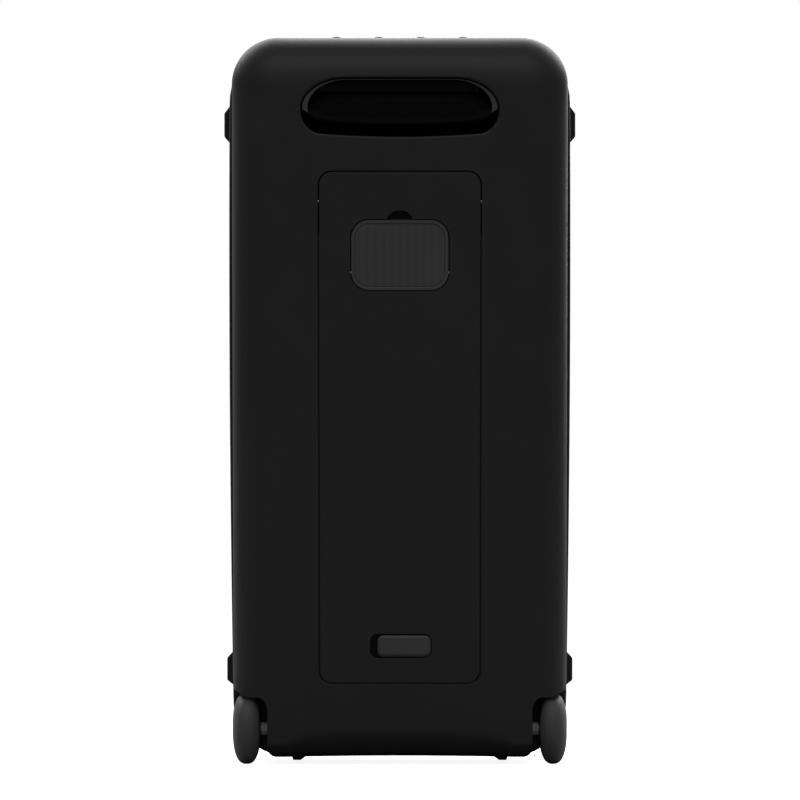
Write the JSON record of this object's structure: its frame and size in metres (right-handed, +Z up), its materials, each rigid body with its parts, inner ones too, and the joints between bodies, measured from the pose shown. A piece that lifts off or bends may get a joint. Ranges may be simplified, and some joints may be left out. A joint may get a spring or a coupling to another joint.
{
  "type": "wheeled party speaker",
  "caption": "Tall wheeled party speaker with two woofers, top controls, a rear hand pocket and a hinged back hatch with a socket flap and slide latch.",
  "frame": {"origin": "on the floor under the middle of the bounding box", "axes": "+Z up, +Y towards the back with the hatch and wheels, front with the drivers towards -Y, +X to the left when the back is seen from the front"},
  "size_m": [0.361, 0.366, 0.7434],
  "materials": {
    "shell": "fine spark-eroded texture",
    "frame": "satin",
    "hatch": "fine spark-eroded texture",
    "flap": "satin",
    "pocket": "polished",
    "rubber": "matt",
    "grille": "powder coat",
    "diffuser": "translucent white",
    "board_panel": "painted fibreboard",
    "brace": "raw fibreboard",
    "panel": "semi-gloss",
    "circuit": "solder mask",
    "steel": "zinc plated",
    "basket": "powder coat",
    "magnet": "sintered",
    "cone": "pressed fibre",
    "aluminium": "extruded",
    "loom": "insulated leads",
    "battery": "satin",
    "brass": "plated",
    "tyre": "solid rubber",
    "hub": "satin",
    "knob": "satin"
  },
  "bodies": {
    "cabinet": {"rear_shell": "shell", "front_frame": "frame", "baffle": "board_panel", "grille": "grille", "light_rings": "diffuser", "top_panel": "panel", "control_board": "circuit", "upper_woofer_basket": "basket", "upper_woofer_motor": "magnet", "upper_woofer_surround": "rubber", "lower_woofer_basket": "basket", "lower_woofer_motor": "magnet", "lower_woofer_surround": "rubber", "left_tweeter_waveguide": "frame", "left_tweeter_driver": "aluminium", "right_tweeter_waveguide": "frame", "right_tweeter_driver": "aluminium", "port_tubes": "frame", "cross_brace": "brace", "amplifier_board": "circuit", "heat_sink": "aluminium", "power_supply": "steel", "wiring_loom": "loom", "handle_cup": "pocket", "grip_liner": "rubber", "battery_bay": "frame", "battery_pack": "battery", "battery_contacts": "brass", "socket_panel": "panel", "mains_inlet": "panel", "signal_sockets": "steel", "left_axle": "steel", "right_axle": "steel", "wheel_spacers": "hub", "front_feet": "rubber", "side_bumpers": "rubber", "instrument_jacks": "steel", "cabinet_screws": "steel"},
    "left_wheel": {"left_tyre": "tyre", "left_hub": "hub"},
    "right_wheel": {"right_tyre": "tyre", "right_hub": "hub"},
    "hatch": {"back_hatch": "hatch", "hatch_gasket": "rubber", "hatch_pins": "steel"},
    "latch": {"latch_slider": "flap", "latch_bolt": "steel"},
    "flap": {"socket_flap": "flap", "flap_pins": "steel"},
    "volume": {"volume_knob": "knob"},
    "upper_cone": {"upper_woofer_cone": "cone"},
    "lower_cone": {"lower_woofer_cone": "cone"},
    "knob_1_body": {"knob_1": "knob"},
    "button_1_body": {"button_1": "knob"},
    "knob_2_body": {"knob_2": "knob"},
    "button_2_body": {"button_2": "knob"},
    "knob_3_body": {"knob_3": "knob"},
    "button_3_body": {"button_3": "knob"},
    "knob_4_body": {"knob_4": "knob"},
    "button_4_body": {"button_4": "knob"}
  },
  "joints": [
    {"name": "left_wheel_roll", "type": "hinge", "parent": "cabinet", "child": "left_wheel", "pos_m": [0.156, 0.1468, 0.0362], "axis": [1, 0, 0], "continuous": true},
    {"name": "right_wheel_roll", "type": "hinge", "parent": "cabinet", "child": "right_wheel", "pos_m": [-0.156, 0.1468, 0.0362], "axis": [1, 0, 0], "continuous": true},
    {"name": "hatch_swing", "type": "hinge", "parent": "cabinet", "child": "hatch", "pos_m": [0, 0.1643, 0.573], "axis": [1, 0, 0], "range_deg": [0, 95]},
    {"name": "latch_slide", "type": "slide", "parent": "hatch", "child": "latch", "axis": [1, 0, 0], "range_m": [0, 0.0074]},
    {"name": "flap_fold", "type": "hinge", "parent": "hatch", "child": "flap", "pos_m": [0, 0.1673, 0.5005], "axis": [-1, 0, 0], "range_deg": [0, 110]},
    {"name": "knob_1_turn", "type": "hinge", "parent": "cabinet", "child": "knob_1_body", "pos_m": [-0.0645, 0.06, 0.725], "axis": [0, 0, 1], "range_deg": [-150, 150]},
    {"name": "knob_2_turn", "type": "hinge", "parent": "cabinet", "child": "knob_2_body", "pos_m": [-0.0215, 0.06, 0.725], "axis": [0, 0, 1], "range_deg": [-150, 150]},
    {"name": "knob_3_turn", "type": "hinge", "parent": "cabinet", "child": "knob_3_body", "pos_m": [0.0215, 0.06, 0.725], "axis": [0, 0, 1], "range_deg": [-150, 150]},
    {"name": "knob_4_turn", "type": "hinge", "parent": "cabinet", "child": "knob_4_body", "pos_m": [0.0645, 0.06, 0.725], "axis": [0, 0, 1], "range_deg": [-150, 150]},
    {"name": "volume_turn", "type": "hinge", "parent": "cabinet", "child": "volume", "pos_m": [0, 0, 0.73], "axis": [0, 0, 1], "continuous": true},
    {"name": "button_1_press", "type": "slide", "parent": "cabinet", "child": "button_1_body", "axis": [0, 0, -1], "range_m": [0, 0.0015], "stiffness_N_per_m": 400, "springref_m": -0.0003},
    {"name": "button_2_press", "type": "slide", "parent": "cabinet", "child": "button_2_body", "axis": [0, 0, -1], "range_m": [0, 0.0015], "stiffness_N_per_m": 400, "springref_m": -0.0003},
    {"name": "button_3_press", "type": "slide", "parent": "cabinet", "child": "button_3_body", "axis": [0, 0, -1], "range_m": [0, 0.0015], "stiffness_N_per_m": 400, "springref_m": -0.0003},
    {"name": "button_4_press", "type": "slide", "parent": "cabinet", "child": "button_4_body", "axis": [0, 0, -1], "range_m": [0, 0.0015], "stiffness_N_per_m": 400, "springref_m": -0.0003},
    {"name": "upper_cone_travel", "type": "slide", "parent": "cabinet", "child": "upper_cone", "axis": [0, -1, 0], "range_m": [-0.004, 0.004], "stiffness_N_per_m": 3000, "deforming": ["upper_woofer_surround"]},
    {"name": "lower_cone_travel", "type": "slide", "parent": "cabinet", "child": "lower_cone", "axis": [0, -1, 0], "range_m": [-0.004, 0.004], "stiffness_N_per_m": 3000, "deforming": ["lower_woofer_surround"]}
  ]
}
